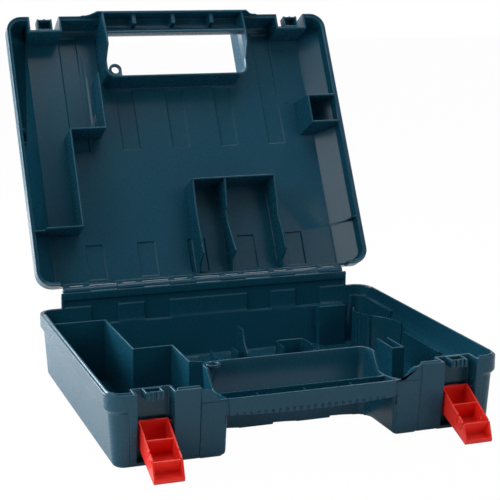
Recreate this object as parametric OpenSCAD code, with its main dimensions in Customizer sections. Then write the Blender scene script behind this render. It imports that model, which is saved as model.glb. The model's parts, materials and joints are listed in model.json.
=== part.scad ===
// Moulded carrying case for a power saw and its blades, standing open.
// X runs to the right, the handle and latches are at -Y, the hinge at +Y, and Z is up.
// The origin is the centre of the underside of the base.
// Lid and latches are drawn closed, and are then turned open about their own pivots.

/* [Case] */
// Width over the rim
case_w = 393; // [380:1:430]
// Depth over the rim
case_d = 322; // [310:1:350]
// Height of the parting plane above the table
part_z = 71; // [69:0.5:80]
// Depth of the lid, from the parting plane to its flat top
lid_h = 37.5; // [36:0.5:50]
// Corner radius of the rim in plan
corner_r = 18; // [16:0.5:26]
// Thickness of the moulded shells
wall_t = 2.5; // [2:0.1:3]
// Angle that the lid stands open
lid_open = 118.4; // [95:0.1:120]

/* [Rim] */
// Height of the band round the rim of each shell
band_h = 15; // [12:0.5:17]
// How far the band stands out from the wall below it
band_out = 3.6; // [2:0.1:4]
// Height of the slope under the band
band_slope = 4; // [2:0.5:5]
// How far the side walls of the base lean in below the band
wall_lean = 3.1; // [1:0.1:5]
// How far the front wall of the base leans in
front_lean = 6.1; // [4:0.1:7]
// How far the front wall of the lid leans in
lid_front_lean = 1.5; // [0.5:0.1:3]
// Step back of the front faces beside the hand hole
front_step = 0.6; // [0.3:0.1:1]
// Rounding of the lower edge of the base and of the upper edge of the lid
edge_r = 5; // [4:0.5:7]
// Width of the outer ledge on the rim of the base
ledge_w = 2.2; // [1.5:0.1:2.5]
// Thickness of the tongue inside the ledge
tongue_t = 2.4; // [1.8:0.1:2.8]
// Height of the tongue above the parting plane
tongue_h = 1.6; // [1:0.1:2]
// Gap between the closed rims
rim_gap = 0.4; // [0.2:0.1:0.6]
// How far in from the rim the flat top of the lid starts, at its left and right sides
side_in = 25.6; // [22:0.2:34]
// Height of the slanted left and right sides of the lid
side_drop = 18; // [14:0.5:22]

/* [Handle] */
// Clear width of the hand hole
hole_w = 170; // [140:1:180]
// Clear depth of the hand hole, from the grip to the wall behind it
hole_d = 46; // [38:1:52]
// Corner radius of the hand hole
hole_r = 9; // [6:0.5:12]
// How much the hand hole narrows at its two waists
hole_waist = 2; // [0.5:0.5:3]
// Depth of the grip from front to back
grip_d = 30; // [26:1:32]
// Thickness of the walls of the grip
grip_t = 3; // [2.5:0.1:3.5]
// Height of the underside of the grip
grip_z = 41.5; // [38:0.5:44]
// How far the front skirt of the grip hangs down at mid span
grip_bow = 2.6; // [1:0.1:3]
// How far the joint of the two grip halves drops below the parting plane, at the front
grip_drop = 13; // [10:0.5:14]
// The same at the back of the grip
grip_drop_back = 16.5; // [14:0.5:18]
// Height of the closed grip above its front joint
grip_h = 20; // [16:0.5:22]
// Rounding of the grip on the side of the fingers
grip_r = 17; // [10:0.5:20]
// Pitch of the grip ribs
grip_pitch = 7; // [5:0.5:10]
// Diameter of the padlock hole
eye_d = 9; // [6:0.5:11]
// Width of the rim round the padlock hole
eye_rim = 3; // [2:0.1:4]
// Thickness of each padlock plate
eye_t = 3; // [2:0.1:4]

/* [Latches] */
// Distance of the middle of each latch from the side of the case
latch_side = 44.5; // [41:0.5:48]
// Width of a latch
latch_w = 28.6; // [24:0.2:30]
// Length of a latch from its pivot to its tip
latch_l = 62.7; // [61:0.1:64]
// Wall thickness of a latch
latch_t = 1.8; // [1.4:0.1:2.2]
// Distance from the pivot to the open edge of a latch
latch_rim = 4; // [3.6:0.1:4.4]
// Depth of a latch near its pivot
latch_d = 21.5; // [20:0.5:22]
// Depth of a latch at its tip
latch_tip_d = 14.4; // [13:0.1:16]
// Height of the latch pivots
pivot_z = 38.3; // [37:0.1:39]
// Depth of the pivots behind the face of the rim
pivot_in = 12.4; // [12:0.1:12.6]
// Diameter of the latch trunnions
trunnion_d = 4; // [3:0.2:5]
// Radial clearance of the trunnions and of the hinge rod
run_gap = 0.08; // [0.04:0.01:0.1]
// Width of the latch recesses
recess_w = 34; // [31:0.5:38]
// Depth of the latch recesses behind the face of the rim
recess_d = 17.5; // [17.4:0.1:19]
// Depth of the front of the keepers behind the face of the rim
keeper_in = 4; // [3.5:0.1:6]
// Width of the keepers that a latch closes over
keeper_w = 17.5; // [14:0.5:19]

/* [Hinge] */
// Height of the hinge axis above the parting plane
hinge_up = 17.5; // [17:0.5:19]
// Distance of the hinge axis behind the rim
hinge_out = 2.5; // [2:0.1:4]
// Half length of the raised back wall
back_half = 170; // [168:1:172]
// Diameter of the hinge knuckles
knuckle_d = 9; // [8:0.2:9.4]
// Length of a hinge knuckle
knuckle_l = 29.4; // [20:0.2:29.6]
// Diameter of the hinge rod
rod_d = 3; // [2:0.1:3.6]

/* [Inside] */
// Pitch of the hinge knuckles and of the stiffening bands
band_pitch = 60.5; // [58:0.5:61]
// Width of the bands in the lid
lid_band_w = 20.5; // [16:0.5:26]
// Width of the bands under the base
floor_band_w = 24.5; // [18:0.5:30]
// Depth of the bands
band_depth = 1.7; // [0.8:0.1:2]
// Half width of the plain strip between the front and the back rows of bands
band_gap = 6; // [3:0.5:10]
// Thickness of the inner walls
rib_t = 2.2; // [1.6:0.1:2.6]
// Width of the bay along the left side
bay_w = 61.5; // [50:0.5:70]
// Depth of the bay along the back
bay_d = 63; // [50:0.5:75]
// Height of the blade rack and of the curved divider above the table
rack_z = 51; // [40:0.5:58]
// Distance of the blade rack from the right side of the case
rack_side = 58; // [54:0.5:62]
// Clear width of the blade slot
slot_w = 9.8; // [6:0.2:12]
// Length of the blade slot
slot_l = 38; // [25:1:45]
// Height of the tool cradle above the table
cradle_z = 30; // [20:0.5:40]
// Clear width of the tool cradle
cradle_w = 33; // [24:1:40]
// Height of the post in the back right corner
post_z = 50.5; // [40:0.5:60]
// Width of the two accessory trays in the lid, from left to right
tray_w = [39, 61]; // [30:1:70]
// Depth of the accessory trays, from the hinge side
tray_d = 115; // [90:1:120]
// Depth of the bit box in the lid, from front to back at its rim
bit_d = 36; // [24:1:50]
// Width of the bit box at its rim
bit_w = 35; // [25:1:45]

/* [Hidden] */
$fn = 48;
half_w = case_w / 2;
half_d = case_d / 2;
case_h = part_z + lid_h;
hinge_y = half_d + hinge_out;
hinge_z = part_z + hinge_up;
wall_top = hinge_z - knuckle_d / 2;
pivot_y = -half_d + pivot_in;
latch_x = half_w - latch_side;
latch_face = latch_d - latch_rim;
recess_y = -half_d + recess_d;
keeper_y = -half_d + keeper_in;
grip_y = -half_d + grip_d;
hole_y = grip_y + hole_d;
rim_t = ledge_w + tongue_t;
rim_low = part_z - rim_gap / 2;
rim_high = part_z + rim_gap / 2;
band_z = part_z - band_h;
lid_band_z = part_z + band_h;
lid_wall_z = lid_band_z + band_slope + 1;
lid_lean = band_out + 1;
lid_in_z = case_h - wall_t;
base_floor = wall_t + band_depth;
step_x = hole_w / 2 + 25;
front_angle = atan(front_lean / (band_z - edge_r));
rail_y = hinge_y - knuckle_d / 2 - 0.3;
panel_half = half_w - corner_r - 2;
recess_low = edge_r;
recess_high = pivot_z + latch_l + 2;
keeper_low = part_z - 8.2;
keeper_high = part_z + 12.5;
rib_low = keeper_low - 2.2 - pivot_z;
rib_high = keeper_high + 3 - pivot_z;
lid_wall_half = back_half + 1;
lid_left_x = -half_w + bay_w - 3;
lid_back_y = half_d - bay_d - 3.5;
nook_y = hole_y + 67;
far = 40;

// The latches hang open until their tips are this far above the table
tip_gap = 0.3;
tip = [latch_rim - latch_tip_d, latch_l];
latch_open = 180 + asin((pivot_z - tip_gap) / norm(tip)) - atan2(tip[1], tip[0]);

case_colour = [0.18, 0.34, 0.39];
latch_colour = [0.85, 0.1, 0.09];
rod_colour = [0.6, 0.61, 0.62];

// ---------- Profiles ----------

// Points of an arc
function arc(c, r, from, to, steps) =
    [for (i = [0:steps]) let (a = from + (to - from) * i / steps) c + r * [cos(a), sin(a)]];

// Edge profiles hold the distance in from the rim and the height, from the bottom up
base_out = concat(
    arc([band_out + wall_lean + edge_r, edge_r], edge_r, 270, 180, 4),
    [[band_out, band_z - band_slope], [0, band_z], [0, rim_low]]
);
base_in = concat(
    arc([band_out + wall_lean + wall_t + edge_r, wall_t + edge_r], edge_r, 270, 180, 4),
    [[band_out + wall_t, band_z - band_slope], [rim_t, band_z - 1], [rim_t, case_h]]
);
lid_out = concat(
    [[0, part_z - 25], [0, lid_band_z], [band_out, lid_band_z + band_slope]],
    arc([lid_lean + edge_r, case_h - edge_r], edge_r, 180, 90, 4)
);
lid_in = concat(
    [[ledge_w - 0.4, part_z - 26], [ledge_w - 0.4, part_z + tongue_h + 0.6]],
    [[rim_t, part_z + tongue_h + 0.6], [rim_t, lid_band_z + 1]],
    [[band_out + wall_t, lid_band_z + band_slope]],
    arc([lid_lean + wall_t + 3, lid_in_z - 3], 3, 180, 90, 3)
);
hole_side = [
    [0, -1], [hole_waist, grip_z - 1.5], [0, part_z], [hole_waist, rim_high + 8], [0, case_h + 5]
];

// Edge profile for a revolved or extruded edge that is r wide where nothing is taken off
function edge_points(profile, r) = concat(
    [[0, profile[0][1]]],
    [for (p = profile) [r - p[0], p[1]]],
    [[0, profile[len(profile) - 1][1]]]
);

// Side view of the flat front, from the band down to the base or up to the top, t below its face
function panel_points(from_z, to_z, t, lean) =
    let (s = sign(to_z - from_z))
    [
        [-half_d + 24, from_z],
        [-half_d + t, from_z],
        [-half_d + t + lean, to_z - s * edge_r],
        [-half_d + t + lean + 1.5, to_z - s * (t + 1.5)],
        [-half_d + t + lean + edge_r, to_z - s * t],
        [-half_d + 24, to_z - s * t]
    ];

// Front view of the slanted sides of the lid, t below its face
function side_points(t) =
    let (steep = side_drop / (side_in - lid_lean), down = t * norm([1, steep]))
    [
        [-half_w - 1, 0],
        [half_w + 1, 0],
        [half_w + 1, case_h - side_drop - down - steep * (1 + lid_lean)],
        [half_w - side_in, case_h - down],
        [half_w - side_in - 5, case_h - down + 5 * steep],
        [-half_w + side_in + 5, case_h - down + 5 * steep],
        [-half_w + side_in, case_h - down],
        [-half_w - 1, case_h - side_drop - down - steep * (1 + lid_lean)]
    ];

// Joint line of the two halves beside the hand hole, in side view
function side_joint(z) = [
    [hole_y + far, z],
    [hole_y - 19, z],
    [hole_y - 33, z - grip_drop_back],
    [grip_y, z - grip_drop_back],
    [-half_d + grip_t, z - grip_drop],
    [-half_d - far, z - grip_drop]
];

// Right half of the joint line across the front wall, in front view
function front_joint(z) = [
    [hole_w / 2 + 7, z - grip_drop],
    [step_x - 11, z - 4.5],
    [step_x - 7, z - 2],
    [step_x - 3, z - 2],
    [step_x, z]
];

// ---------- Shared shapes ----------

// Box given by its lowest and highest corners
module block(low, high) {
    translate(low) cube(high - low);
}

// Plate that is flat in the XZ plane, between two depths
module plate_y(y0, y1, points) {
    translate([0, y1, 0]) rotate([90, 0, 0]) linear_extrude(y1 - y0) polygon(points);
}

// Plate that is flat in the YZ plane, between two widths
module plate_x(x0, x1, points) {
    translate([x0, 0, 0]) rotate([90, 0, 90]) linear_extrude(x1 - x0) polygon(points);
}

// Thin wall that stands on a line of points in plan
module plan_wall(points, t, low, high) {
    translate([0, 0, low]) linear_extrude(high - low)
        for (i = [0:len(points) - 2])
            let (a = points[i], b = points[i + 1], d = b - a)
            translate(a) rotate(atan2(d[1], d[0]))
                translate([-t / 2, -t / 2]) square([norm(d) + t, t]);
}

// Round bar along X
module bar_x(x0, x1, y, z, d) {
    translate([x0, y, z]) rotate([0, 90, 0]) cylinder(h = x1 - x0, d = d);
}

module both_sides() {
    children();
    mirror([1, 0, 0]) children();
}

// Turns what is drawn closed to the open lid
module lid_pose() {
    translate([0, hinge_y, hinge_z]) rotate([-lid_open, 0, 0])
        translate([0, -hinge_y, -hinge_z]) children();
}

// Filled body with the plan of the case and the given edge profile
module case_solid(profile) {
    cx = half_w - corner_r;
    cy = half_d - corner_r;
    edge = edge_points(profile, corner_r);
    low = profile[0][1];
    high = profile[len(profile) - 1][1];
    corners = [[cx, cy], [-cx, cy], [-cx, -cy], [cx, -cy]];
    for (k = [0:3])
        translate(corners[k]) rotate(90 * k) rotate_extrude(angle = 90) polygon(edge);
    for (side = [0, 180]) rotate(side) {
        translate([cx, cy, 0]) rotate([90, 0, 0]) linear_extrude(2 * cy) polygon(edge);
        rotate(90) translate([cy, cx, 0]) rotate([90, 0, 0]) linear_extrude(2 * cx) polygon(edge);
    }
    translate([-cx, -cy, low]) cube([2 * cx, 2 * cy, high - low]);
}

// Filled hand hole, open to the front and larger all round by grow
module hole_solid(grow = 0) {
    cx = hole_w / 2 - hole_r;
    cy = hole_y - hole_r;
    front = -half_d - far;
    profile = [for (p = hole_side) [p[0] - grow, p[1]]];
    edge = edge_points(profile, hole_r);
    low = profile[0][1];
    high = profile[len(profile) - 1][1];
    both_sides() {
        translate([cx, cy, 0]) rotate_extrude(angle = 90) polygon(edge);
        translate([cx, cy, 0]) rotate([90, 0, 0]) linear_extrude(cy - front) polygon(edge);
    }
    rotate(90) translate([cy, cx, 0]) rotate([90, 0, 0]) linear_extrude(2 * cx) polygon(edge);
    translate([-cx, front, low]) cube([2 * cx, cy - front, high - low]);
}

// Stiffening bands, side by side
module bands(y0, y1, low, high, w, first = 0) {
    for (k = [first:2], side = [-1, 1])
        block([side * k * band_pitch - w / 2, y0, low], [side * k * band_pitch + w / 2, y1, high]);
}

// Space that one latch swings in, larger by grow
module recess(side, low, high, grow = 0) {
    x = side * latch_x;
    block([x - recess_w / 2 - grow, -half_d - far, low], [x + recess_w / 2 + grow, recess_y + grow, high]);
}

module recesses(low, high, grow = 0) {
    both_sides() recess(1, low, high, grow);
}

// What lies above the dipped joint line round the handle
module above_dip(z) {
    side_x = hole_w / 2 + wall_t + 1;
    right = front_joint(z);
    left = [for (i = [len(right) - 1:-1:0]) [-right[i][0], right[i][1]]];
    plate_x(-side_x, side_x,
            concat(side_joint(z), [[-half_d - far, case_h], [hole_y + far, case_h]]));
    plate_y(-half_d - far, -half_d + rim_t + 2,
            concat(left, right, [[step_x, case_h], [-step_x, case_h]]));
}

// Ring of the padlock eye, which grows out of the wall behind the hand hole
module padlock_plate(low) {
    x = -hole_w / 2 + 8.5;
    y = hole_y - 7;
    intersection() {
        difference() {
            union() {
                translate([x, y, low]) cylinder(h = eye_t, d = eye_d + 2 * eye_rim);
                block([x - eye_d / 2 - eye_rim, y, low], [x + eye_d / 2 + eye_rim, y + 15, low + eye_t]);
            }
            translate([x, y, low - 1]) cylinder(h = eye_t + 2, d = eye_d);
        }
        hole_solid();
    }
}

// Hollow bracket with three ribs that a latch closes over, open at one end
module keeper(side, low, high, open_low, open_high) {
    wall = 2;
    x = side * latch_x;
    difference() {
        block([x - keeper_w / 2, keeper_y, low], [x + keeper_w / 2, recess_y, high]);
        block([x - keeper_w / 2 + wall, keeper_y + wall, open_low],
              [x + keeper_w / 2 - wall, recess_y - wall, open_high]);
    }
    for (k = [-1:1])
        let (rib_x = x + k * (keeper_w / 2 - 1))
        block([rib_x - 1, keeper_y - 0.9, low], [rib_x + 1, keeper_y, high]);
}

// ---------- Base ----------

// Space inside the base
module base_room() {
    band_w = floor_band_w + 2 * wall_t;
    difference() {
        union() {
            case_solid(base_in);
            plate_x(-panel_half + wall_t, panel_half - wall_t,
                    panel_points(band_z - 1, 0, wall_t, front_lean));
            block([-back_half + 3, half_d - 9, rim_high], [back_half - 3, half_d - wall_t, case_h]);
            both_sides() for (pad = [[46, 76], [106, 137]])
                block([pad[0], half_d - 9, post_z], [pad[1], half_d - wall_t, case_h]);
        }
        hole_solid(wall_t);
        recesses(-1, case_h, wall_t);
        bands(-half_d, -band_gap + wall_t, 0, base_floor, band_w);
        bands(band_gap - wall_t, half_d - 12 + wall_t, 0, base_floor, band_w);
        both_sides()
            block([0, -half_d, 0], [hole_w / 2 + 6, -half_d + front_lean + 7, grip_z + 3]);
    }
}

// Rounded front corner of the hand hole, which leans in with the front face
module hole_corner() {
    r = 5;
    translate([hole_w / 2 - hole_waist / 2, -half_d, band_z]) rotate([front_angle, 0, 0])
        difference() {
            block([-5, -1, -band_z - 2], [r, r, grip_z - band_z]);
            translate([r, r, -band_z - 3]) cylinder(h = band_z + 4, r = r);
        }
}

// The base as one moulding, without its inner walls
module base_moulding() {
    panel = panel_points(band_z, 0, 0, front_lean);
    difference() {
        union() {
            case_solid(base_out);
            both_sides() plate_x(step_x, panel_half, panel);
            translate([0, front_step, 0]) plate_x(-step_x, step_x, panel);
            difference() {
                case_solid([[ledge_w, part_z - 2], [ledge_w, part_z + tongue_h]]);
                block([-half_w, half_d - 26, 0], [half_w, half_d, case_h]);
                recesses(0, case_h, wall_t + 1);
            }
            plate_x(-back_half, back_half,
                    [[half_d - 8, band_z - 15], [half_d, band_z - 7], [half_d, wall_top], [half_d - 8, wall_top]]);
        }
        base_room();
        hole_solid();
        recesses(recess_low, case_h);
        block([-step_x, -half_d - 1, band_z], [step_x, -half_d + front_step, case_h]);
        bands(-half_d - 1, -band_gap, -1, band_depth, floor_band_w);
        bands(band_gap, half_d - 12, -1, band_depth, floor_band_w);
        above_dip(rim_low);
        both_sides() hole_corner();
        both_sides() bar_x(latch_x - recess_w / 2 - wall_t - 1, latch_x + recess_w / 2 + wall_t + 1,
                           pivot_y, pivot_z, trunnion_d + 2 * run_gap);
    }
}

module base_shell() {
    color(case_colour) difference() {
        base_moulding();
        hole_solid(wall_t);
        recesses(-1, case_h, wall_t);
        block([-half_w, half_d - 12, rim_low], [half_w, half_d + 1, case_h]);
    }
}

module base_hand_hole_wall() {
    color(case_colour) intersection() {
        base_moulding();
        hole_solid(wall_t);
    }
}

module base_latch_recess_left() {
    color(case_colour) intersection() {
        base_moulding();
        recess(-1, -1, case_h, wall_t);
    }
}

module base_latch_recess_right() {
    color(case_colour) intersection() {
        base_moulding();
        recess(1, -1, case_h, wall_t);
    }
}

// Raised part of the back wall, with the rail that closes the gaps under the hinge
module base_back_wall() {
    color(case_colour) {
        intersection() {
            base_moulding();
            block([-half_w, half_d - 12, rim_low], [half_w, half_d + 1, case_h]);
        }
        block([-back_half, rail_y - 2, wall_top - 5], [back_half, rail_y, hinge_z - 0.5]);
    }
}

module base_handle() {
    front_z = rim_low - grip_drop;
    back_z = rim_low - grip_drop_back;
    half = hole_w / 2;
    bow = [for (i = [0:12]) let (x = half * (i / 6 - 1)) [x, grip_z - grip_bow * cos(90 * x / half)]];
    channel = [
        [-half_d, grip_z + 5], [-half_d + 2, grip_z + 1.5], [-half_d + 5, grip_z],
        [grip_y - 6, grip_z], [grip_y - 1.8, grip_z + 1.8], [grip_y, grip_z + 6],
        [grip_y, back_z], [grip_y - grip_t, back_z], [grip_y - grip_t, grip_z + grip_t + 1],
        [-half_d + grip_t, grip_z + grip_t + 1], [-half_d + grip_t, front_z], [-half_d, front_z]
    ];
    color(case_colour) intersection() {
        difference() {
            union() {
                plate_x(-half - 5, half + 5, channel);
                plate_y(-half_d, -half_d + grip_t, concat(bow, [[half, grip_z + 8], [-half, grip_z + 8]]));
                for (x = [-half * 0.56, 0, half * 0.56])
                    block([x - 1, -half_d + 1, grip_z + 1], [x + 1, grip_y - 1, back_z - 3]);
            }
            for (x = [-11 * grip_pitch:grip_pitch:10 * grip_pitch])
                block([x, -half_d - 1, grip_z - 4], [x + 2, -half_d + 1, grip_z + 1.5]);
        }
        hole_solid();
    }
}

module base_left_divider() {
    line = [
        [-half_w, half_d - bay_d],
        [-half_w + bay_w, half_d - bay_d],
        [-half_w + bay_w, nook_y],
        [-hole_w / 2 - 10, nook_y],
        [-hole_w / 2 - 10, hole_y + 7],
        [-hole_w / 2 + 3, hole_y + 2]
    ];
    color(case_colour) intersection() {
        plan_wall(line, rib_t, 0, rim_low);
        base_room();
    }
}

module base_curved_divider() {
    bulge_r = 30;
    sweep_r = 58;
    turn = 227;
    bulge = [half_w - 5.5, half_d - 53];
    sweep = bulge + (bulge_r + sweep_r) * [cos(turn), sin(turn)];
    line = concat(arc(bulge, bulge_r, 143, turn, 8), arc(sweep, sweep_r, turn - 180, 2, 5));
    color(case_colour) intersection() {
        plan_wall(line, rib_t, 0, rack_z + 1);
        base_room();
    }
}

module base_blade_rack() {
    left = half_w - rack_side;
    right = left + slot_w + rib_t;
    color(case_colour) intersection() {
        plan_wall([[left, 0], [left, -slot_l], [right, -slot_l], [right, 0]], rib_t, 0, rack_z);
        base_room();
    }
}

module base_corner_post() {
    color(case_colour) intersection() {
        block([half_w - 65.5, half_d - 16, 0], [half_w - 31.5, half_d, post_z]);
        base_room();
    }
}

// Thicker lower wall round the back right corner, and a ledge along the right wall
module base_side_liner() {
    liner = [for (p = base_in) if (p[1] < band_z - 2) [p[0] + 2.5, p[1]]];
    color(case_colour) {
        intersection() {
            difference() {
                base_room();
                case_solid(concat(liner, [[band_out + wall_t + 2.5, case_h]]));
            }
            block([half_w - 22, half_d - 88, wall_t + edge_r], [half_w, half_d - 4, part_z - 12]);
        }
        intersection() {
            block([half_w - 11, -50, part_z - 28], [half_w, 33, part_z - 25.5]);
            base_room();
        }
    }
}

module base_tool_cradle() {
    x0 = hole_w / 2 - 26.5;
    y0 = half_d - 91;
    y1 = half_d - 65;
    line = concat(
        [[x0, y0]],
        arc([x0 + 5, y1 - 5], 5, 180, 90, 3),
        arc([x0 + cradle_w - 5, y1 - 5], 5, 90, 0, 3),
        [[x0 + cradle_w, y0]]
    );
    color(case_colour) intersection() {
        plan_wall(line, rib_t, 0, cradle_z);
        base_room();
    }
}

module base_floor_fins() {
    back = half_d - 60;
    fin = [
        [back - 42, 0], [back - 34.5, cradle_z - 2.6], [back - 26.5, cradle_z + 4],
        [back - 21.5, cradle_z + 11], [back - 19.5, cradle_z + 20], [back, cradle_z + 20], [back, 0]
    ];
    color(case_colour) intersection() {
        union() {
            plate_x(14, 14 + rib_t, fin);
            block([3, back - 33, 0], [3 + rib_t, back - 12, cradle_z]);
            plan_wall([[-25, back - 46], [-22, back - 19]], rib_t, 0, cradle_z);
        }
        base_room();
    }
}

module base_keeper_left() {
    color(case_colour) keeper(-1, keeper_low, rim_low, keeper_low + 2, case_h);
}

module base_keeper_right() {
    color(case_colour) keeper(1, keeper_low, rim_low, keeper_low + 2, case_h);
}

module base_padlock_eye() {
    color(case_colour) padlock_plate(rim_low - eye_t);
}

module base_hinge_knuckles() {
    color(case_colour) for (k = [-2:2])
        let (x0 = k * band_pitch - knuckle_l / 2, x1 = k * band_pitch + knuckle_l / 2)
        difference() {
            union() {
                bar_x(x0, x1, hinge_y, hinge_z, knuckle_d);
                block([x0, rail_y, wall_top], [x1, hinge_y, hinge_z]);
            }
            bar_x(x0 - 1, x1 + 1, hinge_y, hinge_z, rod_d + 2 * run_gap);
        }
}

module hinge_rod() {
    half = 2.5 * band_pitch + knuckle_l / 2 + 1.5;
    color(rod_colour) bar_x(-half, half, hinge_y, hinge_z, rod_d);
}

// ---------- Lid, drawn closed ----------

// Space inside the lid
module lid_room() {
    groove_z = lid_in_z + band_depth;
    difference() {
        union() {
            intersection() {
                union() {
                    case_solid(lid_in);
                    plate_x(-panel_half + wall_t, panel_half - wall_t,
                            panel_points(lid_band_z + 1, case_h, wall_t, lid_front_lean));
                }
                plate_y(-half_d - 1, half_d + 1, side_points(wall_t));
            }
            bands(hole_y + 5, -band_gap, lid_in_z - 1, groove_z, lid_band_w);
            bands(-half_d + 12, -band_gap, lid_in_z - 1, groove_z, lid_band_w, 2);
            bands(half_d - 53, half_d - 13, lid_in_z - 1, groove_z, lid_band_w);
        }
        hole_solid(wall_t);
        recesses(0, case_h, wall_t);
    }
}

// The lid as one moulding, without its inner walls
module lid_moulding() {
    difference() {
        union() {
            intersection() {
                union() {
                    case_solid(lid_out);
                    plate_x(-panel_half, panel_half, panel_points(lid_band_z, case_h, 0, lid_front_lean));
                }
                plate_y(-half_d - 1, half_d + 1, side_points(0));
            }
            bands(hole_y + 3, half_d - 11, case_h - 1, case_h + band_depth, lid_band_w + 2 * wall_t);
        }
        lid_room();
        hole_solid();
        recesses(0, recess_high);
        difference() {
            block([-half_w - 1, -half_d - far, 0], [half_w + 1, half_d + 1, rim_high]);
            above_dip(rim_high);
        }
        block([-lid_wall_half, half_d - 16, 0], [lid_wall_half, half_d + 1, lid_wall_z]);
    }
}

module lid_shell() {
    color(case_colour) lid_pose() difference() {
        lid_moulding();
        hole_solid(wall_t);
        recesses(0, case_h + 1, wall_t);
    }
}

module lid_hand_hole_wall() {
    color(case_colour) lid_pose() intersection() {
        lid_moulding();
        hole_solid(wall_t);
    }
}

module lid_latch_recess_left() {
    color(case_colour) lid_pose() intersection() {
        lid_moulding();
        recess(-1, 0, case_h + 1, wall_t);
    }
}

module lid_latch_recess_right() {
    color(case_colour) lid_pose() intersection() {
        lid_moulding();
        recess(1, 0, case_h + 1, wall_t);
    }
}

module lid_handle() {
    front_z = rim_high - grip_drop;
    back_z = rim_high - grip_drop_back;
    top_z = front_z + grip_h;
    bend_y = grip_y - grip_r;
    bend_z = top_z - grip_r;
    in_r = grip_r - grip_t;
    half = hole_w / 2 + 5;
    shell = concat(
        [[-half_d, front_z]],
        arc([-half_d + 4, top_z - 4], 4, 180, 90, 4),
        arc([bend_y, bend_z], grip_r, 90, 0, 8),
        [[grip_y, back_z], [grip_y - grip_t, back_z]],
        arc([bend_y, bend_z], in_r, 0, 90, 8),
        [[-half_d + grip_t, top_z - grip_t], [-half_d + grip_t, front_z]]
    );
    color(case_colour) lid_pose() intersection() {
        union() {
            plate_x(-half, half, shell);
            for (x = [-half * 0.53, 0, half * 0.53])
                block([x - 2.5, -half_d + 1, front_z + 4], [x + 2.5, bend_y + 2, top_z - 1]);
        }
        hole_solid();
    }
}

module lid_divider() {
    nook_x = -hole_w / 2 - 12;
    line = [
        [nook_x, hole_y - 4],
        [nook_x, nook_y - 3.5],
        [lid_left_x, nook_y - 3.5],
        [lid_left_x, lid_back_y],
        [-half_w + 18, lid_back_y]
    ];
    color(case_colour) lid_pose() intersection() {
        union() {
            plan_wall(line, rib_t, rim_high, case_h);
            block([-half_w, lid_back_y - rib_t / 2, part_z + 9], [-half_w + 18, lid_back_y + rib_t / 2, case_h]);
        }
        lid_room();
    }
}

module lid_accessory_trays() {
    x0 = -3.5;
    x1 = x0 + tray_w[0];
    x2 = x1 + tray_w[1];
    y0 = half_d - tray_d;
    low = rim_high + 0.2;
    end = half_d - 4;
    left = [
        [y0, low], [y0 + 26, low + 3.5], [y0 + 56, low + 3.5], [y0 + 75, low + 1], [y0 + 90, low + 1],
        [half_d - 19, low + 17.5], [half_d - 12, low + 26], [end, low + 29]
    ];
    middle = [
        [y0, low], [y0 + 35, low + 10], [y0 + 36, low + 14.5], [y0 + 51, low + 14.5], [y0 + 75, low + 7],
        [y0 + 89, low + 1], [half_d - 21, low + 17.5], [half_d - 12, low + 20], [end, low + 20.5]
    ];
    right = [
        [y0, low], [y0 + 31, low + 4.3], [y0 + 46, low + 8.2], [y0 + 56, low + 6], [y0 + 71, low + 2.6],
        [y0 + 90, low + 1], [half_d - 17, low + 16.8], [end, low + 20.5]
    ];
    color(case_colour) lid_pose() intersection() {
        union() {
            plate_x(x0 - rib_t / 2, x0 + rib_t / 2, concat(left, [[end, case_h], [y0, case_h]]));
            plate_x(x1 - rib_t / 2, x1 + rib_t / 2, concat(middle, [[end, case_h], [y0, case_h]]));
            plate_x(x2 - rib_t / 2, x2 + rib_t / 2, concat(right, [[end, case_h], [y0, case_h]]));
            block([x0 - rib_t / 2, y0 - rib_t / 2, low], [x2 + rib_t / 2, y0 + rib_t / 2, case_h]);
        }
        lid_room();
    }
}

// Tapered box with t taken off all round
module bit_frustum(t) {
    x = half_w - 4.6 - bit_w;
    y = hole_y + 31;
    intersection() {
        plate_y(-half_d, half_d, [[x + t - 5, case_h], [x + t, part_z], [half_w, part_z], [half_w, case_h]]);
        plate_x(0, half_w, [[y + t - 4, case_h], [y + t, part_z], [y + bit_d - t, part_z],
                            [y + bit_d - t + 4, case_h]]);
    }
}

module lid_bit_box() {
    low = rim_high + 0.2;
    tongue_clear = [half_w - rim_t - rim_gap, part_z + tongue_h + 0.6];
    color(case_colour) lid_pose() intersection() {
        difference() {
            bit_frustum(0);
            bit_frustum(rib_t);
        }
        plate_y(-half_d, half_d, [
            [0, low], [tongue_clear[0], low], tongue_clear, [half_w, tongue_clear[1]],
            [half_w, case_h], [0, case_h]
        ]);
        lid_room();
    }
}

module lid_gussets() {
    low = part_z + 3.5;
    wedge = [[half_w - 30, case_h], [half_w - 12, low + 18], [half_w - 7.5, low], [half_w, low], [half_w, case_h]];
    small = [[half_w - 16, case_h], [half_w - 8.5, low + 10], [half_w, low + 10], [half_w, case_h]];
    left_small = [for (p = small) [-p[0], p[1]]];
    color(case_colour) lid_pose() intersection() {
        union() {
            plate_y(half_d - 59.5, half_d - 59.5 + rib_t, wedge);
            plate_y(nook_y - 11, nook_y - 11 + rib_t, left_small);
            plate_y(nook_y + 5, nook_y + 5 + rib_t, left_small);
            plate_y(-half_d + 24, -half_d + 24 + rib_t, left_small);
        }
        lid_room();
    }
}

module lid_keeper_left() {
    color(case_colour) lid_pose() keeper(-1, rim_high, keeper_high, 0, keeper_high - 2);
}

module lid_keeper_right() {
    color(case_colour) lid_pose() keeper(1, rim_high, keeper_high, 0, keeper_high - 2);
}

module lid_padlock_eye() {
    color(case_colour) lid_pose() padlock_plate(rim_high);
}

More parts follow.
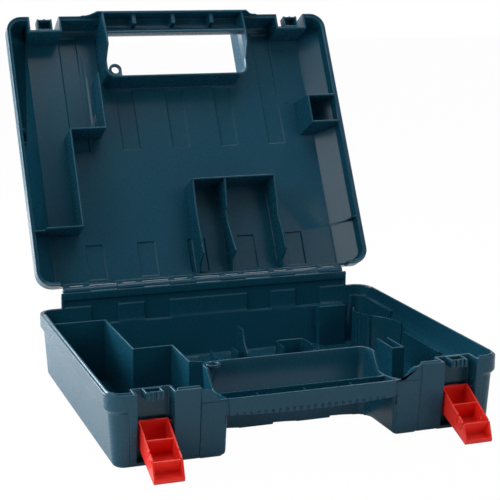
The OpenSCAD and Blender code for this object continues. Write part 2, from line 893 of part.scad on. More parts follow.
module lid_hinge_knuckles() {
    arm_y = half_d - band_out - wall_t;
    window = knuckle_l * 0.53;
    color(case_colour) lid_pose() for (k = [-2.5:2.5])
        let (x = k * band_pitch, x0 = x - knuckle_l / 2, x1 = x + knuckle_l / 2)
        difference() {
            union() {
                bar_x(x0, x1, hinge_y, hinge_z, knuckle_d);
                block([x0, arm_y, hinge_z], [x1, hinge_y, lid_wall_z]);
            }
            bar_x(x0 - 1, x1 + 1, hinge_y, hinge_z, rod_d + 2 * run_gap);
            block([x - window / 2, half_d - band_out + 0.3, hinge_z - 1],
                  [x + window / 2, half_d - band_out + 1.8, case_h]);
        }
}

// ---------- Latches ----------

// Distance of the face of a latch from its pivot, at a height above the pivot
function face_at(z) = -latch_face + (latch_d - latch_tip_d) * (z - 12) / (latch_l - 12);

// Latch drawn closed, with its pivot at the origin and its hollow to the back
module latch_shape() {
    half = latch_w / 2;
    trunnion = recess_w / 2 + wall_t - 0.3;
    heel_r = 4.3;
    outside = concat(
        [[latch_rim, -1.8], [latch_rim, latch_l - 13], [tip[0] + 3, latch_l - 0.5], tip],
        [[-latch_face, 12], [-latch_face, 6], [-latch_face + 2.5, 3], [-6, -2]],
        arc([0, 0], heel_r, 240, 330, 4)
    );
    inside = [
        [latch_rim + 1, -0.5], [latch_rim + 1, latch_l - latch_t], [tip[0] + latch_t, latch_l - latch_t],
        [-latch_face + latch_t, 12], [-latch_face + latch_t, 6.8], [-latch_face + 3.4, 4.6], [-5.1, -0.5]
    ];
    difference() {
        plate_x(-half, half, outside);
        plate_x(-half + latch_t, half - latch_t, inside);
        both_sides() for (z = [latch_l - 26, latch_l - 15])
            block([half - latch_t - 1, latch_rim - 9, z], [half + 1, latch_rim + 1, z + 1.5]);
    }
    for (z = [rib_low, rib_high])
        plate_x(-half + latch_t, half - latch_t, [
            [face_at(z) + 0.6, z], [latch_rim - 0.6, z],
            [latch_rim - 0.6, z + 1.4], [face_at(z) + 0.6, z + 1.4]
        ]);
    both_sides() {
        bar_x(half - latch_t, trunnion, 0, 0, trunnion_d);
        plate_x(half - 0.5, half + 0.9, [
            [latch_rim - 5, latch_l - 22], [latch_rim - 2, latch_l - 22],
            [latch_rim - 2, latch_l - 18.5], [latch_rim - 5, latch_l - 18.5]
        ]);
    }
    plate_x(-5, 5, [[0.8, -3.6], [2.2, -4.3], [3.6, -3.3], [3.6, -1.5], [0.8, -1.5]]);
}

// Latch on one side, turned open
module latch(side) {
    translate([side * latch_x, pivot_y, pivot_z]) rotate([latch_open, 0, 0]) latch_shape();
}

module latch_left() {
    color(latch_colour) latch(-1);
}

module latch_right() {
    color(latch_colour) latch(1);
}

base_shell();
base_hand_hole_wall();
base_latch_recess_left();
base_latch_recess_right();
base_back_wall();
base_handle();
base_left_divider();
base_curved_divider();
base_blade_rack();
base_corner_post();
base_side_liner();
base_tool_cradle();
base_floor_fins();
base_keeper_left();
base_keeper_right();
base_padlock_eye();
base_hinge_knuckles();
hinge_rod();
lid_shell();
lid_hand_hole_wall();
lid_latch_recess_left();
lid_latch_recess_right();
lid_handle();
lid_divider();
lid_accessory_trays();
lid_bit_box();
lid_gussets();
lid_keeper_left();
lid_keeper_right();
lid_padlock_eye();
lid_hinge_knuckles();
latch_left();
latch_right();
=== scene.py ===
"""Looks of an open carrying case for a power saw and its blades.

The case is dark teal polypropylene with two red latches and a steel hinge rod.
"""

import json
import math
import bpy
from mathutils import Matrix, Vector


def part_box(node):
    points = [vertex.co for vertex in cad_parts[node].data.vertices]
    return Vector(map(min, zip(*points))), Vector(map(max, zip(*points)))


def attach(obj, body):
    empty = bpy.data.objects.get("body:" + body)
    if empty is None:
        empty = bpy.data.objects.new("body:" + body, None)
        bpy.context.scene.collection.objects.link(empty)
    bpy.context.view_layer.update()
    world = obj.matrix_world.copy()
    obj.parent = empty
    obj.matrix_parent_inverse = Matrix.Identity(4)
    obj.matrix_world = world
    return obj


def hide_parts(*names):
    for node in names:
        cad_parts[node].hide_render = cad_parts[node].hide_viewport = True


bl_info = {
    "name": "Saw Blade Case Looks",
    "version": (1, 0, 0),
    "blender": (4, 5, 0),
    "location": "View3D > Sidebar > Case",
    "description": "Dresses an open tool case with moulded edges, plastics, light and a floor",
    "category": "Object",
}

import bmesh
import bpy
import numpy as np
from bpy.props import FloatProperty, FloatVectorProperty, PointerProperty, StringProperty
from mathutils import Matrix, Vector
from mathutils.bvhtree import BVHTree

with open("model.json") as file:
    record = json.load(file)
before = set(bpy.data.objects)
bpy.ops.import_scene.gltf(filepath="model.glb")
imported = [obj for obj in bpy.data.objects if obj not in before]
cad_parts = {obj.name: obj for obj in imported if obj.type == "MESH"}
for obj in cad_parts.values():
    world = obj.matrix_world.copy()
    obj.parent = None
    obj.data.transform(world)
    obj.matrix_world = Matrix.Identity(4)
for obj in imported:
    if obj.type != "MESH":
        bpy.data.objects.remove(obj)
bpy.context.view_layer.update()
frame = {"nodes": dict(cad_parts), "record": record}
MM = 0.001

BASE_NODES = [name for name in frame["nodes"] if name.startswith("base_")]
LID_NODES = [name for name in frame["nodes"] if name.startswith("lid_")]
FLAT_ANGLE = math.radians(0.4)
SHARP_ANGLE = math.radians(35)
CLOSE_SHARE = 1e-4
HOLE_SIDE = 84.6 * MM
FOOT_TOP = 8 * MM
FOOT_STEPS = 6
FOOT_FADE = [-102 * MM, -99 * MM, -96 * MM, -93 * MM, -90 * MM]


def linear(hex_colour):
    """Linear RGBA of an sRGB hex colour."""
    parts = [int(hex_colour[i:i + 2], 16) / 255 for i in (1, 3, 5)]
    return tuple(c / 12.92 if c <= 0.04045 else ((c + 0.055) / 1.055) ** 2.4 for c in parts) + (1.0,)


# ---------- Sizes and colours that a user may change ----------


class MouldingSettings(bpy.types.PropertyGroup):
    """Edges and colours of the mouldings."""

    edge_radius: FloatProperty(
        name="Edge radius", description="Rounding of the moulded edges",
        default=0.9 * MM, min=0.1 * MM, max=1.0 * MM, unit="LENGTH")
    foot_radius: FloatProperty(
        name="Foot radius", description="Rounding of the lower edges beside the hand hole",
        default=6.0 * MM, min=1.0 * MM, max=7.0 * MM, unit="LENGTH")
    latch_edge_radius: FloatProperty(
        name="Latch edge radius", description="Rounding of the edges of the latches",
        default=0.3 * MM, min=0.1 * MM, max=0.6 * MM, unit="LENGTH")
    rib_size: FloatVectorProperty(
        name="Keeper rib size", description="Width, depth and height of a rib on a keeper",
        default=(1.6 * MM, 0.9 * MM, 7.6 * MM), size=3, subtype="XYZ_LENGTH", unit="LENGTH")
    rib_pitch: FloatProperty(
        name="Keeper rib pitch", description="Distance between two ribs on a keeper",
        default=4.4 * MM, min=2 * MM, max=5 * MM, unit="LENGTH")
    mark_middle: FloatVectorProperty(
        name="Pin mark middle", description="Middle of the pin marks on the shut lid",
        default=(0.0, 42.4 * MM, 105.95 * MM), size=3, subtype="TRANSLATION", unit="LENGTH")
    mark_spread: FloatVectorProperty(
        name="Pin mark spread", description="Width and depth that the pin marks cover",
        default=(168.8 * MM, 190.0 * MM), size=2, unit="LENGTH")
    mark_radius: FloatProperty(
        name="Pin mark radius", description="Radius of a mark of a mould pin",
        default=4.2 * MM, min=2 * MM, max=6 * MM, unit="LENGTH")
    mark_height: FloatProperty(
        name="Pin mark height", description="Thickness of a mark, which stands half above the floor",
        default=0.4 * MM, min=0.1 * MM, max=1 * MM, unit="LENGTH")
    case_colour: StringProperty(
        name="Case colour", description="sRGB hex colour of the case", default="#10475C")
    latch_colour: StringProperty(
        name="Latch colour", description="sRGB hex colour of the latches", default="#F0342A")
    rod_colour: StringProperty(
        name="Rod colour", description="sRGB hex colour of the hinge rod", default="#B9BBBD")
    grain: FloatProperty(
        name="Mould grain", description="Width of the grain that the mould leaves on the case",
        default=1.2 * MM, min=0.3 * MM, max=4 * MM, unit="LENGTH")


class StageSettings(bpy.types.PropertyGroup):
    """Camera, lamps and floor."""

    eye: FloatVectorProperty(
        name="Camera place", description="Where the camera stands",
        default=(-0.45983, -1.26509, 0.44691), size=3, subtype="TRANSLATION", unit="LENGTH")
    yaw: FloatProperty(
        name="Yaw", description="Turn of the camera to the right of +Y",
        default=0.344, subtype="ANGLE")
    pitch: FloatProperty(
        name="Pitch", description="Tilt of the camera below the horizon",
        default=0.212, subtype="ANGLE")
    roll: FloatProperty(name="Roll", description="Roll of the camera", default=0.003, subtype="ANGLE")
    lens: FloatProperty(
        name="Lens", description="Focal length on a 36 mm wide frame", default=97.15)
    side_power: FloatProperty(
        name="Side lamp", description="Power of the lamp behind the left side", default=29.0,
        unit="POWER")
    left_power: FloatProperty(
        name="Left lamp", description="Power of the lamp on the left", default=11.0,
        unit="POWER")
    top_power: FloatProperty(
        name="Top lamp", description="Power of the lamp above", default=9.0, unit="POWER")
    back_power: FloatProperty(
        name="Back lamp", description="Power of the lamp that lights the upper edges", default=7.0,
        unit="POWER")
    front_power: FloatProperty(
        name="Front lamp", description="Power of the lamp at the front right", default=6.5,
        unit="POWER")
    room_light: FloatProperty(
        name="Room light", description="Light that the dim side of the studio gives",
        default=0.08, min=0.0, max=1.0)


# ---------- Materials ----------


def node(tree, kind, inputs=(), **settings):
    """Adds a node with its settings; an input is a value or an output socket to link."""
    made = tree.nodes.new(kind)
    for name, value in settings.items():
        setattr(made, name, value)
    for name, value in dict(inputs).items():
        if isinstance(value, bpy.types.NodeSocket):
            tree.links.new(value, made.inputs[name])
        else:
            made.inputs[name].default_value = value
    return made


def new_material(name):
    """Material with an empty node tree, its tree and its output."""
    material = bpy.data.materials.new(name)
    material.use_nodes = True
    tree = material.node_tree
    tree.nodes.clear()
    return material, tree, node(tree, "ShaderNodeOutputMaterial")


def polypropylene():
    """Injection-moulded polypropylene: satin, with a fine mould grain that breaks up its gloss."""
    settings = bpy.context.scene.case_moulding
    material, tree, output = new_material("moulded_polypropylene_teal")
    place = node(tree, "ShaderNodeTexCoord")
    grain = node(tree, "ShaderNodeTexNoise", {
        "Vector": place.outputs["Object"], "Scale": 1 / settings.grain, "Detail": 3.0,
        "Roughness": 0.6})
    flow = node(tree, "ShaderNodeTexNoise", {
        "Vector": place.outputs["Object"], "Scale": 9.0, "Detail": 2.0})
    base = Vector(linear(settings.case_colour)[:3])
    tint = node(tree, "ShaderNodeMix", {"Factor": flow.outputs["Fac"]}, data_type="RGBA")
    tint.inputs[6].default_value = (*(base * 0.93), 1.0)
    tint.inputs[7].default_value = (*(base * 1.07), 1.0)
    gloss = node(tree, "ShaderNodeMapRange", {
        "Value": grain.outputs["Fac"], "To Min": 0.22, "To Max": 0.32})
    relief = node(tree, "ShaderNodeBump", {
        "Height": grain.outputs["Fac"], "Strength": 0.06, "Distance": 0.1 * MM})
    surface = node(tree, "ShaderNodeBsdfPrincipled", {
        "Base Color": tint.outputs[2], "Roughness": gloss.outputs["Result"], "IOR": 1.49,
        "Specular IOR Level": 0.3, "Normal": relief.outputs["Normal"]})
    tree.links.new(surface.outputs["BSDF"], output.inputs["Surface"])
    return material


def latch_plastic():
    """Red acetal: glossier than the case, and the light that enters thin ribs makes them glow."""
    settings = bpy.context.scene.case_moulding
    material, tree, output = new_material("moulded_acetal_red")
    place = node(tree, "ShaderNodeTexCoord")
    flow = node(tree, "ShaderNodeTexNoise", {
        "Vector": place.outputs["Object"], "Scale": 60.0, "Detail": 2.0})
    gloss = node(tree, "ShaderNodeMapRange", {
        "Value": flow.outputs["Fac"], "To Min": 0.26, "To Max": 0.36})
    surface = node(tree, "ShaderNodeBsdfPrincipled", {
        "Base Color": linear(settings.latch_colour), "Roughness": gloss.outputs["Result"],
        "IOR": 1.48, "Subsurface Weight": 0.4, "Subsurface Scale": 2.0 * MM,
        "Subsurface Radius": (1.0, 0.25, 0.12)})
    tree.links.new(surface.outputs["BSDF"], output.inputs["Surface"])
    return material


def drawn_steel():
    """Drawn steel rod: bright, with fine lines along its length."""
    settings = bpy.context.scene.case_moulding
    material, tree, output = new_material("drawn_steel_rod")
    place = node(tree, "ShaderNodeTexCoord")
    lines = node(tree, "ShaderNodeMapping", {
        "Vector": place.outputs["Object"], "Scale": (40.0, 4000.0, 4000.0)})
    scratch = node(tree, "ShaderNodeTexNoise", {"Vector": lines.outputs["Vector"], "Scale": 1.0})
    gloss = node(tree, "ShaderNodeMapRange", {
        "Value": scratch.outputs["Fac"], "To Min": 0.25, "To Max": 0.45})
    surface = node(tree, "ShaderNodeBsdfPrincipled", {
        "Base Color": linear(settings.rod_colour), "Metallic": 1.0,
        "Roughness": gloss.outputs["Result"]})
    tree.links.new(surface.outputs["BSDF"], output.inputs["Surface"])
    return material


def white_sweep():
    """Matt white sweep that shows white to the camera and keeps a trace of shadow."""
    material, tree, output = new_material("matt_white_sweep")
    path = node(tree, "ShaderNodeLightPath")
    card = node(tree, "ShaderNodeBsdfDiffuse", {"Color": linear("#F4F4F4")})
    glow = node(tree, "ShaderNodeEmission", {"Color": (1.0, 1.0, 1.0, 1.0), "Strength": 1.0})
    mirrored = node(tree, "ShaderNodeMath", {0: path.outputs["Is Glossy Ray"], 1: 0.12},
                    operation="MULTIPLY")
    share = node(tree, "ShaderNodeMath", {
        0: path.outputs["Is Camera Ray"], 1: 0.98, 2: mirrored.outputs["Value"]},
        operation="MULTIPLY_ADD")
    mixed = node(tree, "ShaderNodeMixShader", {
        0: share.outputs["Value"], 1: card.outputs["BSDF"], 2: glow.outputs["Emission"]})
    tree.links.new(mixed.outputs["Shader"], output.inputs["Surface"])
    return material


# ---------- Pieces ----------


def closed_mesh(name):
    """Copy of a CAD node's mesh with its loose triangles joined."""
    mesh = frame["nodes"][name].data.copy()
    shape = bmesh.new()
    shape.from_mesh(mesh)
    bmesh.ops.remove_doubles(shape, verts=shape.verts, dist=0.002 * MM)
    shape.to_mesh(mesh)
    shape.free()
    return mesh


def one_mesh(names):
    """One mesh of the CAD nodes that are a single moulding in the real case."""
    scene = bpy.context.scene
    others = bpy.data.collections.new("joined_nodes")
    copies = [bpy.data.objects.new(name + "_copy", closed_mesh(name)) for name in names]
    scene.collection.objects.link(copies[0])
    for copy in copies[1:]:
        others.objects.link(copy)
    if len(copies) > 1:
        union = copies[0].modifiers.new("Union", "BOOLEAN")
        union.operation = "UNION"
        union.operand_type = "COLLECTION"
        union.collection = others
        union.solver = "MANIFOLD"
    view = bpy.context.evaluated_depsgraph_get()
    mesh = bpy.data.meshes.new_from_object(copies[0].evaluated_get(view))
    for copy in copies:
        bpy.data.objects.remove(copy)
    bpy.data.collections.remove(others)
    return mesh


def join_flat_faces(shape):
    """Joins pairs of faces that lie in one plane, so that only real edges are left."""
    flat = [e for e in shape.edges if e.calc_face_angle(1) < FLAT_ANGLE]
    for edge in sorted(flat, key=lambda e: -e.calc_length()):
        if not edge.is_valid or len(edge.link_faces) != 2:
            continue
        first, second = edge.link_faces
        shared = sum(second in e.link_faces for e in first.edges)
        if first is not second and shared == 1 and first.normal.angle(second.normal, 1) < FLAT_ANGLE:
            bmesh.utils.face_join([first, second])
    straight = [v for v in shape.verts if len(v.link_edges) == 2 and v.calc_edge_angle(1) < FLAT_ANGLE]
    bmesh.ops.dissolve_verts(shape, verts=straight)


def round_edges(shape, radius, skin):
    """Rounds every edge longer than the radius and keeps the new points close to the skin."""
    join_flat_faces(shape)
    sharp = [e for e in shape.edges
             if e.calc_face_angle(0) > SHARP_ANGLE and e.calc_length() > radius]
    bmesh.ops.bevel(
        shape, geom=sharp, offset=radius, offset_type="OFFSET", segments=3, profile=0.5,
        affect="EDGES", clamp_overlap=False, loop_slide=False)
    for vert in shape.verts:
        nearest, _, _, distance = skin.find_nearest(vert.co)
        if distance > 0.35 * radius:
            vert.co = nearest


def outline_crossing(flat):
    """First two sides of a flat outline that cross, with the share along each, or None."""
    start = np.array(flat)
    run = np.roll(start, -1, axis=0) - start
    gap = start[None] - start[:, None]
    slope = run[:, None, 0] * run[None, :, 1] - run[:, None, 1] * run[None, :, 0]
    slope[np.abs(slope) < 1e-12] = np.inf
    along = (gap[..., 0] * run[None, :, 1] - gap[..., 1] * run[None, :, 0]) / slope
    other = (gap[..., 0] * run[:, None, 1] - gap[..., 1] * run[:, None, 0]) / slope
    inside = np.minimum(np.minimum(along, 1 - along), np.minimum(other, 1 - other)) > CLOSE_SHARE
    pairs = np.argwhere(np.triu(inside, 2))
    if not len(pairs):
        return None
    first, second = pairs[0]
    return (first, along[first, second]), (second, other[first, second])


def untangle_faces(shape, skin):
    """Cuts a face where its outline crosses itself, because rounding folds narrow corners."""
    todo = [face for face in shape.faces if len(face.verts) > 4]
    while todo:
        face = todo.pop()
        loops = list(face.loops)
        long_edge = max(face.edges, key=lambda e: e.calc_length())
        across = (long_edge.verts[1].co - long_edge.verts[0].co).normalized()
        up = face.normal.cross(across).normalized()
        flat = [(v.co.dot(across) / MM, v.co.dot(up) / MM) for v in (loop.vert for loop in loops)]
        crossing = outline_crossing(flat)
        if crossing:
            first, second = (
                bmesh.utils.edge_split(loops[i].edge, loops[i].vert, share)[1]
                for i, share in crossing)
            first.co = second.co = skin.find_nearest((first.co + second.co) / 2)[0]
            made = bmesh.utils.face_split(face, first, second)
            parts = [part for part in (face, made[0] if made else None) if part]
            todo += [part for part in parts if len(part.verts) > 3]


def cut_through(shape, place, normal):
    """Adds an edge loop where a plane meets the lowest part of the moulding."""
    low = [f for f in shape.faces if min(v.co.z for v in f.verts) < FOOT_TOP]
    parts = {*low, *(e for f in low for e in f.edges), *(v for f in low for v in f.verts)}
    bmesh.ops.bisect_plane(shape, geom=list(parts), dist=1e-7, plane_co=place, plane_no=normal)


def round_feet(shape, radius):
    """Rounds the lower edges of the base on both sides of the hand hole."""
    steps = [radius * k / FOOT_STEPS for k in range(1, FOOT_STEPS + 1)]
    for step in steps:
        cut_through(shape, (0, 0, step), (0, 0, 1))
        for side in (-1, 1):
            cut_through(shape, (side * (HOLE_SIDE + step), 0, 0), (1, 0, 0))
    for y in FOOT_FADE:
        cut_through(shape, (0, y, 0), (0, 1, 0))
    for vert in shape.verts:
        inward = abs(vert.co.x) - HOLE_SIDE
        fade = min(max((FOOT_FADE[-1] - vert.co.y) / (FOOT_FADE[-1] - FOOT_FADE[0]), 0), 1)
        away = Vector((radius - inward, radius - vert.co.z))
        reach = max(abs(away.x), abs(away.y))
        if fade > 0 and -0.5 * MM < inward < radius and vert.co.z < radius and reach > 0:
            pull = 1 + fade * (reach / away.length - 1)
            vert.co.x = math.copysign(HOLE_SIDE + radius - away.x * pull, vert.co.x)
            vert.co.z = radius - away.y * pull


def moulded_piece(name, nodes, body, radius, material, foot_radius=0.0):
    """Moulding with rounded edges that stands for its CAD nodes."""
    mesh = one_mesh(nodes)
    mesh.name = name
    shape = bmesh.new()
    shape.from_mesh(mesh)
    if foot_radius:
        round_feet(shape, foot_radius)
    skin = BVHTree.FromBMesh(shape)
    round_edges(shape, radius, skin)
    untangle_faces(shape, skin)
    wide = [face for face in shape.faces if len(face.verts) > 4]
    bmesh.ops.triangulate(shape, faces=wide, ngon_method="BEAUTY")
    for face in shape.faces:
        face.smooth = True
        face.material_index = 0
    shape.to_mesh(mesh)
    shape.free()
    mesh.materials.clear()
    mesh.materials.append(material)
    piece = bpy.data.objects.new(name, mesh)
    bpy.context.scene.collection.objects.link(piece)
    shading = piece.modifiers.new("Flat faces stay flat", "WEIGHTED_NORMAL")
    shading.weight = 90
    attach(piece, body)
    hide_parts(*nodes)
    return piece


# ---------- Repeated features, made with Geometry Nodes ----------


def new_tree(name, inputs):
    """Geometry Nodes tree with named inputs, its input node and its output node."""
    tree = bpy.data.node_groups.new(name, "GeometryNodeTree")
    tree.interface.new_socket("Geometry", in_out="OUTPUT", socket_type="NodeSocketGeometry")
    for label, (kind, value) in inputs.items():
        socket = tree.interface.new_socket(label, in_out="INPUT", socket_type="NodeSocket" + kind)
        socket.default_value = value
    return tree, node(tree, "NodeGroupInput"), node(tree, "NodeGroupOutput")


def finish_tree(tree, output, geometry, material):
    """Ends a tree in real geometry that carries its material."""
    real = node(tree, "GeometryNodeRealizeInstances", {"Geometry": geometry})
    finished = node(tree, "GeometryNodeSetMaterial", {
        "Geometry": real.outputs["Geometry"], "Material": material})
    tree.links.new(finished.outputs["Geometry"], output.inputs["Geometry"])


def grown_piece(name, tree, values, body):
    """Plain mesh grown by a tree whose inputs get values, riding on one body."""
    holder = bpy.data.objects.new(name + "_grower", bpy.data.meshes.new(name + "_grower"))
    bpy.context.scene.collection.objects.link(holder)
    growth = holder.modifiers.new("Growth", "NODES")
    growth.node_group = tree
    for item in tree.interface.items_tree:
        if item.in_out == "INPUT" and item.name in values:
            growth[item.identifier] = values[item.name]
    view = bpy.context.evaluated_depsgraph_get()
    mesh = bpy.data.meshes.new_from_object(holder.evaluated_get(view))
    mesh.name = name
    bpy.data.objects.remove(holder)
    piece = bpy.data.objects.new(name, mesh)
    bpy.context.scene.collection.objects.link(piece)
    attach(piece, body)
    return piece


def rib_tree(material):
    """Rows of wedge-shaped ribs, one row on the front of each keeper."""
    tree, given, output = new_tree("keeper_ribs", {
        "Ribs": ("Int", 4), "Rib pitch": ("Float", 4.2 * MM), "Rib size": ("Vector", (0, 0, 0)),
        "First rib": ("Vector", (0, 0, 0)), "Row step": ("Vector", (0, 0, 0))})
    block = node(tree, "GeometryNodeMeshCube", {"Size": given.outputs["Rib size"]})
    place = node(tree, "GeometryNodeInputPosition")
    axes = node(tree, "ShaderNodeSeparateXYZ", {"Vector": place.outputs["Position"]})
    low = node(tree, "FunctionNodeCompare", {0: axes.outputs["Z"], 1: 0.0}, operation="LESS_THAN")
    front = node(tree, "FunctionNodeCompare", {0: axes.outputs["Y"], 1: 0.0}, operation="LESS_THAN")
    toe = node(tree, "FunctionNodeBooleanMath", {
        0: low.outputs["Result"], 1: front.outputs["Result"]}, operation="AND")
    size = node(tree, "ShaderNodeSeparateXYZ", {"Vector": given.outputs["Rib size"]})
    back = node(tree, "ShaderNodeMath", {0: size.outputs["Y"], 1: 0.9}, operation="MULTIPLY")
    shift = node(tree, "ShaderNodeCombineXYZ", {"Y": back.outputs["Value"]})
    wedge = node(tree, "GeometryNodeSetPosition", {
        "Geometry": block.outputs["Mesh"], "Selection": toe.outputs["Boolean"],
        "Offset": shift.outputs["Vector"]})
    step = node(tree, "ShaderNodeCombineXYZ", {"X": given.outputs["Rib pitch"]})
    line = node(tree, "GeometryNodeMeshLine", {
        "Count": given.outputs["Ribs"], "Start Location": given.outputs["First rib"],
        "Offset": step.outputs["Vector"]})
    row = node(tree, "GeometryNodeInstanceOnPoints", {
        "Points": line.outputs["Mesh"], "Instance": wedge.outputs["Geometry"]})
    sides = node(tree, "GeometryNodeMeshLine", {"Count": 2, "Offset": given.outputs["Row step"]})
    rows = node(tree, "GeometryNodeInstanceOnPoints", {
        "Points": sides.outputs["Mesh"], "Instance": row.outputs["Instances"]})
    finish_tree(tree, output, rows.outputs["Instances"], material)
    return tree


def pin_mark_tree(material):
    """Low round marks that the pins leave which push the lid out of its mould."""
    tree, given, output = new_tree("pin_marks", {
        "Width": ("Float", 0.0), "Depth": ("Float", 0.0), "Columns": ("Int", 4),
        "Rows": ("Int", 2), "Mark radius": ("Float", 4 * MM), "Mark height": ("Float", 0.3 * MM),
        "Hinge to floor": ("Vector", (0, 0, 0)), "Lid turn": ("Vector", (0, 0, 0)),
        "Hinge": ("Vector", (0, 0, 0))})
    spread = node(tree, "GeometryNodeMeshGrid", {
        "Size X": given.outputs["Width"], "Size Y": given.outputs["Depth"],
        "Vertices X": given.outputs["Columns"], "Vertices Y": given.outputs["Rows"]})
    mark = node(tree, "GeometryNodeMeshCylinder", {
        "Vertices": 24, "Radius": given.outputs["Mark radius"],
        "Depth": given.outputs["Mark height"]})
    marks = node(tree, "GeometryNodeInstanceOnPoints", {
        "Points": spread.outputs["Mesh"], "Instance": mark.outputs["Mesh"]})
    shut = node(tree, "GeometryNodeTransform", {
        "Geometry": marks.outputs["Instances"], "Translation": given.outputs["Hinge to floor"]})
    opened = node(tree, "GeometryNodeTransform", {
        "Geometry": shut.outputs["Geometry"], "Translation": given.outputs["Hinge"],
        "Rotation": given.outputs["Lid turn"]})
    finish_tree(tree, output, opened.outputs["Geometry"], material)
    return tree


class OBJECT_OT_keeper_ribs(bpy.types.Operator):
    """Add the ribs on the front of the keepers of the base"""

    bl_idname = "object.keeper_ribs"
    bl_label = "Keeper ribs"

    def execute(self, context):
        sizes = context.scene.case_moulding
        keeper_low, keeper_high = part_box("base_keeper_left")
        width, depth, height = sizes.rib_size
        middle = (keeper_low[0] + keeper_high[0]) / 2
        first = (middle - 1.5 * sizes.rib_pitch, keeper_low[1] - depth / 2,
                 keeper_low[2] + height / 2)
        tree = rib_tree(bpy.data.materials["moulded_polypropylene_teal"])
        grown_piece("base_keeper_ribs", tree, {
            "Ribs": 4, "Rib pitch": sizes.rib_pitch, "Rib size": tuple(sizes.rib_size),
            "First rib": first, "Row step": (-2 * middle, 0.0, 0.0)}, "base")
        return {"FINISHED"}


class OBJECT_OT_pin_marks(bpy.types.Operator):
    """Add the round marks of the mould's pins on the floor of the lid"""

    bl_idname = "object.pin_marks"
    bl_label = "Pin marks"

    def execute(self, context):
        sizes = context.scene.case_moulding
        hinge = next(j for j in frame["record"]["behaviour"]["joints"] if j["name"] == "lid_hinge")
        place = Vector(hinge["pos_m"])
        middle = Vector(sizes.mark_middle)
        tree = pin_mark_tree(bpy.data.materials["moulded_polypropylene_teal"])
        grown_piece("lid_pin_marks", tree, {
            "Width": sizes.mark_spread[0], "Depth": sizes.mark_spread[1], "Columns": 4, "Rows": 2,
            "Mark radius": sizes.mark_radius, "Mark height": sizes.mark_height,
            "Hinge to floor": tuple(middle - place),
            "Lid turn": (-math.radians(hinge["range_deg"][1]), 0.0, 0.0),
            "Hinge": tuple(place)}, "lid")
        return {"FINISHED"}


class OBJECT_OT_case_base(bpy.types.Operator):
    """Dress the base moulding"""

    bl_idname = "object.case_base"
    bl_label = "Case base"

    def execute(self, context):
        sizes = context.scene.case_moulding
        moulded_piece("base_moulding", BASE_NODES, "base", sizes.edge_radius, polypropylene(),
                      sizes.foot_radius)
        return {"FINISHED"}


class OBJECT_OT_case_lid(bpy.types.Operator):
    """Dress the lid moulding"""

    bl_idname = "object.case_lid"
    bl_label = "Case lid"

    def execute(self, context):
        plastic = bpy.data.materials["moulded_polypropylene_teal"]
        radius = context.scene.case_moulding.edge_radius
        moulded_piece("lid_moulding", LID_NODES, "lid", radius, plastic)
        return {"FINISHED"}


class OBJECT_OT_case_latches(bpy.types.Operator):
    """Dress the two latches"""

    bl_idname = "object.case_latches"
    bl_label = "Case latches"

    def execute(self, context):
        plastic = latch_plastic()
        radius = context.scene.case_moulding.latch_edge_radius
        for name in ("latch_left", "latch_right"):
            moulded_piece(name + "_moulding", [name], name, radius, plastic)
        return {"FINISHED"}


class OBJECT_OT_case_rod(bpy.types.Operator):
    """Give the hinge rod its steel"""

    bl_idname = "object.case_rod"
    bl_label = "Hinge rod"

    def execute(self, context):
        rod = frame["nodes"]["hinge_rod"]
        rod.data.materials.clear()
        rod.data.materials.append(drawn_steel())
        return {"FINISHED"}


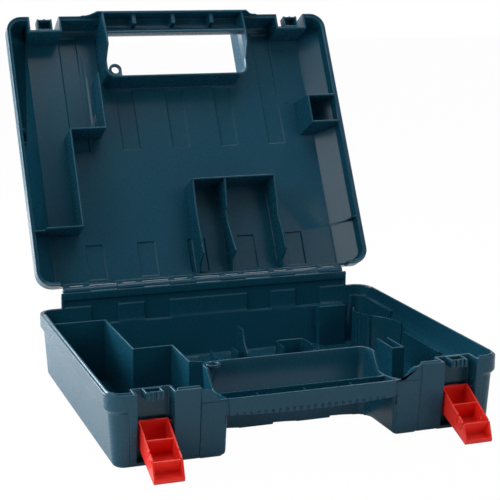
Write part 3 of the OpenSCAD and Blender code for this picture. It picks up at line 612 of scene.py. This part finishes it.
class OBJECT_OT_case_stage(bpy.types.Operator):
    """Set the floor, lamps and camera"""

    bl_idname = "object.case_stage"
    bl_label = "Stage"

    def execute(self, context):
        scene = context.scene
        settings = scene.case_stage
        scene.view_settings.view_transform = "Standard"
        self.floor(scene)
        self.world(scene)
        self.lamp(scene, "side_lamp", (-1.0, 0.9, 0.3), 0.8, settings.side_power)
        self.lamp(scene, "left_lamp", (-1.35, -0.3, 0.85), 1.0, settings.left_power)
        self.lamp(scene, "top_lamp", (0.0, -0.2, 1.7), 1.0, settings.top_power)
        self.lamp(scene, "back_lamp", (0.55, 0.6, 1.45), 0.5, settings.back_power)
        self.lamp(scene, "front_lamp", (1.2, -1.2, 1.0), 1.0, settings.front_power)
        self.camera(scene, settings)
        return {"FINISHED"}

    def floor(self, scene):
        bpy.ops.mesh.primitive_plane_add(size=12.0, location=(0, 0, 0))
        floor = bpy.context.object
        floor.name = "floor"
        floor.data.materials.append(white_sweep())

    def world(self, scene):
        world = bpy.data.worlds.new("white_studio")
        world.use_nodes = True
        tree = world.node_tree
        tree.nodes.clear()
        output = node(tree, "ShaderNodeOutputWorld")
        path = node(tree, "ShaderNodeLightPath")
        place = node(tree, "ShaderNodeTexCoord")
        way = node(tree, "ShaderNodeSeparateXYZ", {"Vector": place.outputs["Generated"]})
        sweep = node(tree, "ShaderNodeMapRange", {
            "Value": way.outputs["Y"], "From Min": 0.1, "From Max": 0.8,
            "To Min": scene.case_stage.room_light, "To Max": 1.0})
        share = node(tree, "ShaderNodeMapRange", {
            "Value": path.outputs["Is Glossy Ray"], "To Min": 0.6, "To Max": 1.0})
        light = node(tree, "ShaderNodeMath", {
            0: sweep.outputs["Result"], 1: share.outputs["Result"]}, operation="MULTIPLY")
        strength = node(tree, "ShaderNodeMath", {
            0: path.outputs["Is Camera Ray"], 1: light.outputs["Value"]}, operation="MAXIMUM")
        background = node(tree, "ShaderNodeBackground", {
            "Color": (1.0, 1.0, 1.0, 1.0), "Strength": strength.outputs["Value"]})
        tree.links.new(background.outputs["Background"], output.inputs["Surface"])
        scene.world = world

    def lamp(self, scene, name, place, size, power):
        data = bpy.data.lights.new(name, "AREA")
        data.shape = "SQUARE"
        data.size = size
        data.energy = power
        lamp = bpy.data.objects.new(name, data)
        scene.collection.objects.link(lamp)
        aim = Vector((0.0, 0.05, 0.12)) - Vector(place)
        lamp.location = place
        lamp.rotation_euler = aim.to_track_quat("-Z", "Y").to_euler()

    def camera(self, scene, settings):
        data = bpy.data.cameras.new("camera")
        data.sensor_width = 36.0
        data.lens = settings.lens
        camera = bpy.data.objects.new("camera", data)
        scene.collection.objects.link(camera)
        turn = Matrix.Rotation(-settings.yaw, 4, "Z")
        tilt = Matrix.Rotation(math.pi / 2 - settings.pitch, 4, "X")
        roll = Matrix.Rotation(settings.roll, 4, "Z")
        camera.matrix_world = Matrix.Translation(Vector(settings.eye)) @ turn @ tilt @ roll
        scene.camera = camera


class VIEW3D_PT_case(bpy.types.Panel):
    """Lists the steps that dress the case"""

    bl_label = "Case"
    bl_idname = "VIEW3D_PT_case"
    bl_space_type = "VIEW_3D"
    bl_region_type = "UI"
    bl_category = "Case"

    def draw(self, context):
        for step in STEPS:
            self.layout.operator(step.bl_idname)
        for settings in (context.scene.case_moulding, context.scene.case_stage):
            for name in settings.__annotations__:
                self.layout.prop(settings, name)


STEPS = (
    OBJECT_OT_case_base,
    OBJECT_OT_case_lid,
    OBJECT_OT_keeper_ribs,
    OBJECT_OT_pin_marks,
    OBJECT_OT_case_latches,
    OBJECT_OT_case_rod,
    OBJECT_OT_case_stage,
)
CLASSES = (MouldingSettings, StageSettings, *STEPS, VIEW3D_PT_case)


def register():
    for item in CLASSES:
        bpy.utils.register_class(item)
    bpy.types.Scene.case_moulding = PointerProperty(type=MouldingSettings)
    bpy.types.Scene.case_stage = PointerProperty(type=StageSettings)


def unregister():
    del bpy.types.Scene.case_stage
    del bpy.types.Scene.case_moulding
    for item in reversed(CLASSES):
        bpy.utils.unregister_class(item)


def main():
    register()
    bpy.ops.object.case_base()
    bpy.ops.object.case_lid()
    bpy.ops.object.keeper_ribs()
    bpy.ops.object.pin_marks()
    bpy.ops.object.case_latches()
    bpy.ops.object.case_rod()
    bpy.ops.object.case_stage()


if __name__ == "__main__":
    main()
